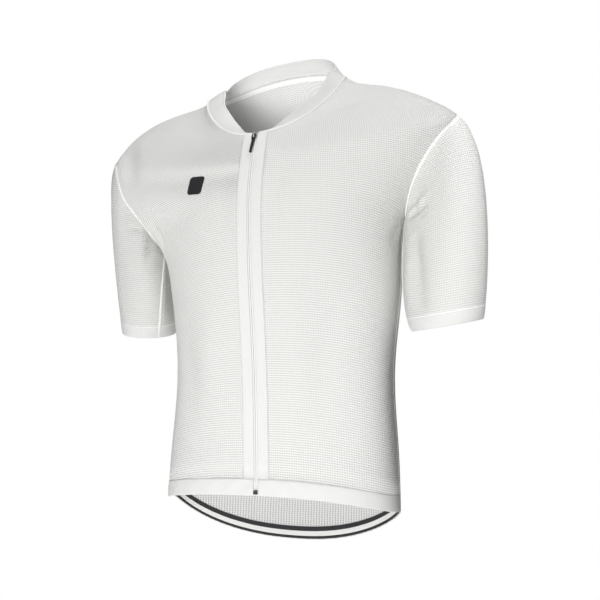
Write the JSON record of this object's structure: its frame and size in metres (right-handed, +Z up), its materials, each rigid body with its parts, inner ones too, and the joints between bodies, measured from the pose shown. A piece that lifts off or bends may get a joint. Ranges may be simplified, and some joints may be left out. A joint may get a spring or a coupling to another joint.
{
  "type": "short-sleeved cycling jersey",
  "caption": "Hollow, worn-form short-sleeved cycling jersey with a low collar, full-length front zip with hinged pull tab, smooth cuffs and a dropped back hem with gripper elastic.",
  "frame": {"origin": "midway between the two side-neck points of the collar seam, where the wearer's shoulders hold the jersey", "axes": "+Z up, the front with the zip faces -Y, the wearer's left is +X"},
  "size_m": [0.5693, 0.2219, 0.7352],
  "materials": {
    "mesh": "fine waffle mesh knit, matt",
    "smooth_band": "smooth matt knit",
    "elastic": "black and white woven gripper elastic",
    "badge": "plain black rubberised patch",
    "zip_coil": "light grey coil tape",
    "slider_metal": "dark grey",
    "tab": "black"
  },
  "bodies": {
    "jersey": {"front_left": "mesh", "front_right": "mesh", "back_panel": "mesh", "pocket_back": "mesh", "sleeve_left": "mesh", "sleeve_right": "mesh", "cuff_left": "smooth_band", "cuff_right": "smooth_band", "collar": "smooth_band", "hem_front_left": "smooth_band", "hem_front_right": "smooth_band", "zip_facing_left": "smooth_band", "zip_facing_right": "smooth_band", "gripper_back": "elastic", "badge_chest": "badge", "zip_coil_left": "zip_coil", "zip_coil_right": "zip_coil", "zip_slider": "slider_metal", "zip_stop": "tab"},
    "pull": {"zip_pull": "tab"}
  },
  "joints": [
    {"name": "pull_hinge", "type": "hinge", "parent": "jersey", "child": "pull", "pos_m": [0, -0.08803, -0.10929], "axis": [-1, 0, 0], "range_deg": [0, 160]}
  ]
}
